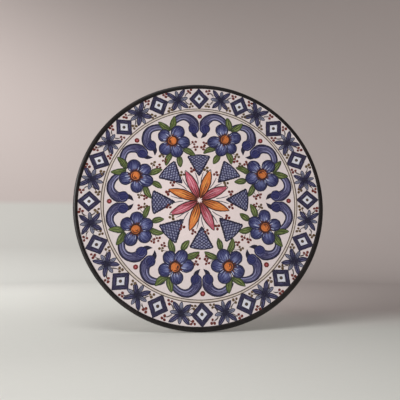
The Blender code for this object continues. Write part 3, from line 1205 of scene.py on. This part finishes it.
class PLATE_OT_body(bpy.types.Operator):
    """Turns the plate's body, drills its wire holes and glazes it"""

    bl_idname = "wall_plate.body"
    bl_label = "Plate body"
    TURN_STEPS = 288
    CREASE = 35

    def execute(self, context):
        form = context.scene.plate_form
        palette = context.scene.paint_palette
        profile = [(radius, -height, PLATE_CENTRE_HEIGHT) for radius, height in body_profile(form)]
        piece = turned("plate_body", profile, self.TURN_STEPS, (0, 0, PLATE_CENTRE_HEIGHT), (0, 1, 0))
        drill_wire_holes(piece, form)
        piece.data.materials.clear()
        piece.data.materials.append(white_glaze(palette))
        piece.data.materials.append(bare_clay(palette))
        lay_clay(piece.data, form)
        set_on_plate(piece, self.CREASE)
        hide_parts("plate")
        return {"FINISHED"}


class PLATE_OT_rim(bpy.types.Operator):
    """Lays the dark glaze over the rim roll, with its hand-banded inner edge"""

    bl_idname = "wall_plate.rim"
    bl_label = "Dark rim"
    SEED = 90
    AROUND = 480
    SECTION = 18
    CREASE = 50
    # How far the band's two sides lie under the full size of the rim, and how far it laps over the back.
    OUTSIDE, INSIDE = 0.00002, 0.00022
    BACK_LAP = 0.15
    # The inner edge, in millimetres outward: two broad lobes, a wander of these waves, and a shift inward.
    LOBE = math.radians(48)
    WAVES = (2, 5, 9, 17, 31, 53)
    LOBE_SHARE, WANDER_SHARE, SHIFT = 0.55, 0.15, -0.1

    def execute(self, context):
        form = context.scene.plate_form
        hand = np.random.default_rng(context.scene.paint_plan.seed + self.SEED)
        around = np.linspace(0, math.tau, self.AROUND, endpoint=False)
        waves = enumerate(zip(self.WAVES, hand.uniform(0, math.tau, len(self.WAVES))))
        wander = sum(np.sin(around * speed + phase) / (index + 2) for index, (speed, phase) in waves)
        start = roll_start(form)
        points = []
        for angle, drift in zip(around, wander):
            lobes = self.LOBE_SHARE * math.cos(2 * (angle - self.LOBE))
            climb = (lobes + self.WANDER_SHARE * drift + self.SHIFT) * MM
            reach = start - max(climb, 0.0) / form.rim_roll
            outside = roll_points(form, reach, -start - self.BACK_LAP, self.SECTION, self.OUTSIDE)
            inside = roll_points(form, -start - self.BACK_LAP, reach, self.SECTION, self.INSIDE)
            if climb < 0:
                edge = form.face_diameter / 2 + climb
                level = float(front_height(form, edge))
                inside[-1], outside[0] = (edge, level - self.INSIDE), (edge, level + self.OUTSIDE)
            for radius, height in np.vstack([inside[-1:], outside, inside[:-1]]):
                x, z = radius * math.sin(angle), radius * math.cos(angle)
                points.append((x, -height, z + PLATE_CENTRE_HEIGHT))
        faces = [(a, d, c, b) for a, b, c, d in band_faces(self.AROUND, 2 * self.SECTION, True)]
        mesh = bpy.data.meshes.new("rim_band")
        mesh.from_pydata(points, [], faces)
        mesh.materials.append(rim_glaze(context.scene.paint_palette))
        set_on_plate(link("rim_band", mesh), self.CREASE)
        return {"FINISHED"}


def paint_piece(name, slot, glazes, places, draw, seed, over=0):
    """Makes one piece by drawing a motif at each of these places, over this many layers of glaze."""
    brush = Brushwork(seed, over)
    for spot in places:
        brush.spot = spot
        draw(brush)
    brush.finish(name, slot, glazes.split())


class PLATE_OT_ring_lines(bpy.types.Operator):
    """Draws the two thin ring lines inside the border, and the cream wash between them"""

    bl_idname = "wall_plate.ring_lines"
    bl_label = "Ring lines"

    def execute(self, context):
        plan = context.scene.paint_plan
        outer, inner = plan.outer_line / MM, plan.inner_line / MM

        def draw_wash(brush):
            band = circle((outer + inner) / 2, 480)
            brush.line(band, (outer - inner) * 0.42, 0, 0, spacing=2.4)

        def draw_lines(brush):
            for radius in (outer, inner):
                brush.line(circle(radius, 480), 0.6, 0, 0, spacing=1.8)

        paint_piece("ring_wash", "ochre_line", "cream", [Spot()], draw_wash, seed=1)
        paint_piece("ring_lines", "ochre_line", "ring", [Spot()], draw_lines, seed=2, over=1)
        return {"FINISHED"}


class PLATE_OT_diamonds(bpy.types.Operator):
    """Paints the sixteen framed diamonds of the border, each with a ring dot in the middle"""

    bl_idname = "wall_plate.diamonds"
    bl_label = "Border diamonds"

    def execute(self, context):
        plan = context.scene.paint_plan
        places = spots(2 * plan.repeats, plan.border_radius, seed=33, drift=0.5)
        paint_piece("border_diamonds", "navy_line", "frame violet pearl navy", places, draw_diamond, seed=3)
        paint_piece("diamond_dots", "ochre_line", "stem ring brown", places, draw_diamond_dot, seed=4)
        return {"FINISHED"}


class PLATE_OT_stars(bpy.types.Operator):
    """Paints the sixteen star flowers of the border and their pale leaves"""

    bl_idname = "wall_plate.stars"
    bl_label = "Border stars"
    OUTWARD = 0.0004

    def execute(self, context):
        plan = context.scene.paint_plan
        radius = plan.border_radius + self.OUTWARD
        places = spots(2 * plan.repeats, radius, seed=35, offset=0.5, swing=0.7, drift=0.7, growth=0.05)
        paint_piece("star_leaves", "cobalt", "pale_blue navy", places, draw_star_leaves, seed=6)
        paint_piece("star_petals", "navy_line", "star_blue haze navy", places, draw_star, seed=5, over=1)
        return {"FINISHED"}


class PLATE_OT_scrolls(bpy.types.Operator):
    """Paints the eight mirrored pairs of scrolls"""

    bl_idname = "wall_plate.scrolls"
    bl_label = "Scrolls"

    def execute(self, context):
        plan = context.scene.paint_plan
        places = spots(plan.repeats, plan.scroll_radius, seed=38, growth=0.015)
        paint_piece("scrolls", "cobalt", "violet lavender navy deep_blue", places, draw_scroll_pair, seed=8)
        return {"FINISHED"}


class PLATE_OT_ring_dots(bpy.types.Operator):
    """Sets a small red ring over each pair of scrolls"""

    bl_idname = "wall_plate.ring_dots"
    bl_label = "Ring dots"

    def execute(self, context):
        def draw_dot(brush):
            ring, fill = range(2)
            brush.dab((0, 0), 1.6, 0, fill)
            brush.line(circle(1.75, 96), 1.1, 0.5, ring, spacing=0.35)

        plan = context.scene.paint_plan
        places = spots(plan.repeats, plan.ring_dot_radius, seed=39)
        paint_piece("ring_dots", "berry_red", "red pink", places, draw_dot, seed=9)
        return {"FINISHED"}


class PLATE_OT_flowers(bpy.types.Operator):
    """Paints the eight five-petalled flowers with their leaves and orange eyes"""

    bl_idname = "wall_plate.flowers"
    bl_label = "Flowers"

    def execute(self, context):
        plan = context.scene.paint_plan
        placing = {"offset": 0.5, "swing": 0.6, "drift": 0.6, "aside": -0.8}
        places = spots(plan.repeats, plan.flower_radius, seed=40, **placing)
        for name, slot, glazes, draw, seed, over in (
            ("flower_leaves", "leaf_green", "green light_green dark_green", draw_leaves, 12, 3),
            ("flower_petals", "cobalt", "cobalt glint navy shine", draw_flower, 10, 5),
            ("flower_eyes", "orange", "orange rust brown", draw_eye, 11, 8),
        ):
            paint_piece(name, slot, glazes, places, draw, seed, over)
        return {"FINISHED"}


class PLATE_OT_lattices(bpy.types.Operator):
    """Paints the eight cross-hatched fields that point at the rosette"""

    bl_idname = "wall_plate.lattices"
    bl_label = "Lattices"

    def execute(self, context):
        plan = context.scene.paint_plan
        placing = {"swing": 0.4, "drift": 0.6, "growth": 0.02, "aside": -0.5, "shift": (-0.6, 0.6)}
        places = spots(plan.repeats, plan.lattice_radius, seed=43, **placing)
        paint_piece("lattices", "cobalt", "cell hatch navy", places, draw_lattice, seed=13)
        return {"FINISHED"}


class PLATE_OT_sprigs(bpy.types.Operator):
    """Dots the berry sprigs of the border, between the flowers and round the rosette"""

    bl_idname = "wall_plate.sprigs"
    bl_label = "Berry sprigs"
    ROSETTE_INSET = 0.0120

    def execute(self, context):
        plan = context.scene.paint_plan
        rosette_radius = plan.lattice_radius - self.ROSETTE_INSET
        for name, stem, count, radius, shift, draw, seed in (
            ("border_sprigs", "stem", 2 * plan.repeats, plan.border_radius, (0, 0), draw_border_sprigs, 7),
            ("flower_sprigs", "stem", plan.repeats, plan.berry_radius, (0, 0), draw_flower_sprigs, 14),
            ("rosette_sprigs", "slate", plan.repeats, rosette_radius, ROSETTE_NUDGE, draw_rosette_sprigs, 15),
        ):
            places = spots(count, radius, seed + 30, shift=shift)
            paint_piece(name, "berry_red", f"red ochre {stem} brown", places, draw, seed, over=3)
        return {"FINISHED"}


class PLATE_OT_rosette(bpy.types.Operator):
    """Paints the middle rosette of pink and orange petals round a pale star"""

    bl_idname = "wall_plate.rosette"
    bl_label = "Rosette"

    def execute(self, context):
        plan = context.scene.paint_plan
        spot = Spot(nudge=ROSETTE_NUDGE)
        for first, colour, seed, glazes in (
            (0, "orange", 17, "orange light_orange rust brown"),
            (1, "pink", 16, "pink light_pink red brown"),
        ):

            def draw_petals(brush):
                for index in range(first, plan.repeats, 2):
                    turn = plan.painting_turn + plan.rosette_turn + index * math.tau / plan.repeats
                    draw_rosette_petal(brush, math.degrees(turn))

            paint_piece("rosette_" + colour, colour, glazes, [spot], draw_petals, seed=seed, over=first)
        paint_piece("rosette_heart", "white_glaze", "blush", [spot], draw_rosette_heart, seed=18, over=4)
        return {"FINISHED"}


class PLATE_OT_studio(bpy.types.Operator):
    """Builds the pale floor and backdrop, the soft light and the camera"""

    bl_idname = "wall_plate.studio"
    bl_label = "Studio"
    TURN_STEPS = 96
    FLOOR_RADIUS = 1.1
    COVE_RADIUS = 0.34
    WALL_HEIGHT = 2.4
    FLOOR_GAP = 0.0002
    # The line where the wall's colour starts: how it tilts, how it rises with depth, and how soft it is.
    TILT, SLANT, SOFTNESS = 0.045, -0.253, 0.012
    # Where it may start at all, up from the floor, and where it covers the floor to the right and behind, as
    # a painted shadow of the plate.
    WALL_COLOUR_RISE, RIGHT_SIDE, BEHIND = (0.01, 0.06), (0.0, 0.15), (-0.02, 0.14)
    # Where the floor takes its lighter edge colour, out from the middle, and its darker far colour, up from
    # the floor: painted light and painted shade for how the light falls across it.
    EDGE_REACH, FAR_RISE = (0.55, 1.1), 0.14

    def execute(self, context):
        studio = context.scene.studio_setup
        self.make_surroundings(studio)
        self.make_light(context.scene, studio)
        self.make_camera(context.scene, studio)
        return {"FINISHED"}

    def make_surroundings(self, studio):
        """A round floor, and a wall round it that curves up from it and lets the light through."""
        low = PLATE_LOW.z - self.FLOOR_GAP
        turn = np.linspace(0, math.pi / 2, 14)
        radii = self.FLOOR_RADIUS + self.COVE_RADIUS * np.sin(turn)
        heights = low + self.COVE_RADIUS * (1 - np.cos(turn))
        cove = [(radius, 0.0, height) for radius, height in zip(radii, heights)]
        top = (cove[-1][0], 0.0, low + self.WALL_HEIGHT)
        paper = self.paper(studio, low)
        rows = {"studio_floor": [(0.0, 0.0, low), (0.4, 0.0, low), cove[0]], "studio_wall": [*cove, top]}
        for name, profile in rows.items():
            surface = turned(name, profile, self.TURN_STEPS, (0, 0, 0), (0, 0, 1))
            surface.data.materials.append(paper)
        surface.visible_shadow = False
        surface.visible_diffuse = False

    def paper(self, studio, low):
        """Matt paper, with the floor's colours in front and the backdrop's behind and above, and painted
        light, shade and shadow on the floor.
        """
        shader = Shader("studio_paper")
        place = shader.place()
        across, depth, height = shader.node("SeparateXYZ", Vector=place).outputs
        edge = shader.maths("MULTIPLY_ADD", across, self.TILT, height)
        edge = shader.maths("MULTIPLY_ADD", shader.maths("ABSOLUTE", depth), self.SLANT, edge)
        share = shader.ramp(edge, low - self.SOFTNESS, low + self.SOFTNESS)
        rising = shader.ramp(height, *(low + rise for rise in self.WALL_COLOUR_RISE))
        # Painted shadow: the backdrop's darker colour is laid on the floor to the right behind the plate.
        right = shader.ramp(across, *self.RIGHT_SIDE)
        behind = shader.maths("MULTIPLY", right, shader.ramp(depth, *self.BEHIND))
        share = shader.maths("MAXIMUM", shader.maths("MINIMUM", share, rising), behind)
        # Painted light and shade: the floor grows lighter out towards its edge and darker where it turns up.
        far_out = shader.ramp(shader.span(place), *self.EDGE_REACH)
        floor = shader.mix(far_out, studio.floor_colour, studio.lit_edge_colour)
        floor = shader.mix(shader.ramp(height, low, low + self.FAR_RISE), floor, studio.shaded_far_colour)
        colour = shader.mix(share, floor, studio.backdrop_colour)
        fibre = shader.noise(place, 300.0)
        return shader.finish(colour, shader.ramp(fibre, 0.3, 0.7, 0.6, 0.75), 0.0, fibre, 0.05, 0.0002)

    def aim(self, holder, place, back):
        """Puts a lamp or a camera at a place, with its back towards this direction."""
        holder.location = place
        holder.rotation_euler = back.to_track_quat("Z", "Y").to_euler()
        return holder

    def make_light(self, scene, studio):
        """An even sky and three soft square lamps, each at one point and aimed at another."""
        world = bpy.data.worlds.new("even_sky")
        world.use_nodes = True
        background = world.node_tree.nodes["Background"]
        background.inputs["Color"].default_value = (1.0, 0.985, 0.97, 1.0)
        background.inputs["Strength"].default_value = studio.sky_strength
        scene.world = world
        scene.view_settings.view_transform = "Standard"
        for name, place, target, size, power, spread in (
            ("key_light", (-1.22, -0.72, 0.20), (0, 0, PLATE_CENTRE_HEIGHT), 0.5, studio.key_power, 120),
            ("wall_light", (-0.55, 0.2, 0.66), (-0.85, 1.3, 0.14), 0.7, studio.wall_power, 180),
            ("floor_light", (-0.12, -0.36, 0.42), (-0.12, -0.28, PLATE_LOW.z), 0.3, studio.floor_power, 100),
        ):
            lamp = bpy.data.lights.new(name, "AREA")
            lamp.size = size
            lamp.energy = power
            lamp.spread = math.radians(spread)
            holder = self.aim(link(name, lamp), place, Vector(place) - Vector(target))
            holder.visible_camera = False

    def make_camera(self, scene, studio):
        face = -float(front_height(scene.plate_form, 0.0))
        aim = Vector((studio.aim_right, face, PLATE_CENTRE_HEIGHT + studio.aim_up))
        level = math.cos(studio.elevation)
        side, forward = math.sin(studio.azimuth) * level, -math.cos(studio.azimuth) * level
        back = Vector((side, forward, math.sin(studio.elevation)))
        data = bpy.data.cameras.new("camera")
        data.lens = studio.lens
        data.clip_start = 0.01
        scene.camera = self.aim(link("camera", data), aim + back * studio.distance, back)


OPERATORS = (
    PLATE_OT_body,
    PLATE_OT_rim,
    PLATE_OT_ring_lines,
    PLATE_OT_diamonds,
    PLATE_OT_stars,
    PLATE_OT_scrolls,
    PLATE_OT_ring_dots,
    PLATE_OT_flowers,
    PLATE_OT_lattices,
    PLATE_OT_sprigs,
    PLATE_OT_rosette,
    PLATE_OT_studio,
)

SETTINGS = {
    "plate_form": PlateForm,
    "paint_plan": PaintPlan,
    "paint_palette": PaintPalette,
    "studio_setup": StudioSetup,
}


class PLATE_PT_panel(bpy.types.Panel):
    """Lists the plate's settings and the steps that build it"""

    bl_idname = "PLATE_PT_panel"
    bl_label = "Painted Wall Plate"
    bl_space_type = "VIEW_3D"
    bl_region_type = "UI"
    bl_category = "Wall Plate"

    def draw(self, context):
        for name in SETTINGS:
            settings = getattr(context.scene, name)
            box = self.layout.box()
            for key in settings.__annotations__:
                box.prop(settings, key)
        for operator in OPERATORS:
            self.layout.operator(operator.bl_idname)


def register():
    for name, group in SETTINGS.items():
        bpy.utils.register_class(group)
        setattr(bpy.types.Scene, name, PointerProperty(type=group))
    for item in (*OPERATORS, PLATE_PT_panel):
        bpy.utils.register_class(item)


def unregister():
    for item in reversed((*OPERATORS, PLATE_PT_panel)):
        bpy.utils.unregister_class(item)
    for name, group in reversed(SETTINGS.items()):
        delattr(bpy.types.Scene, name)
        bpy.utils.unregister_class(group)


def main():
    register()
    for operator in OPERATORS:
        module, name = operator.bl_idname.split(".")
        getattr(getattr(bpy.ops, module), name)()


if __name__ == "__main__":
    main()
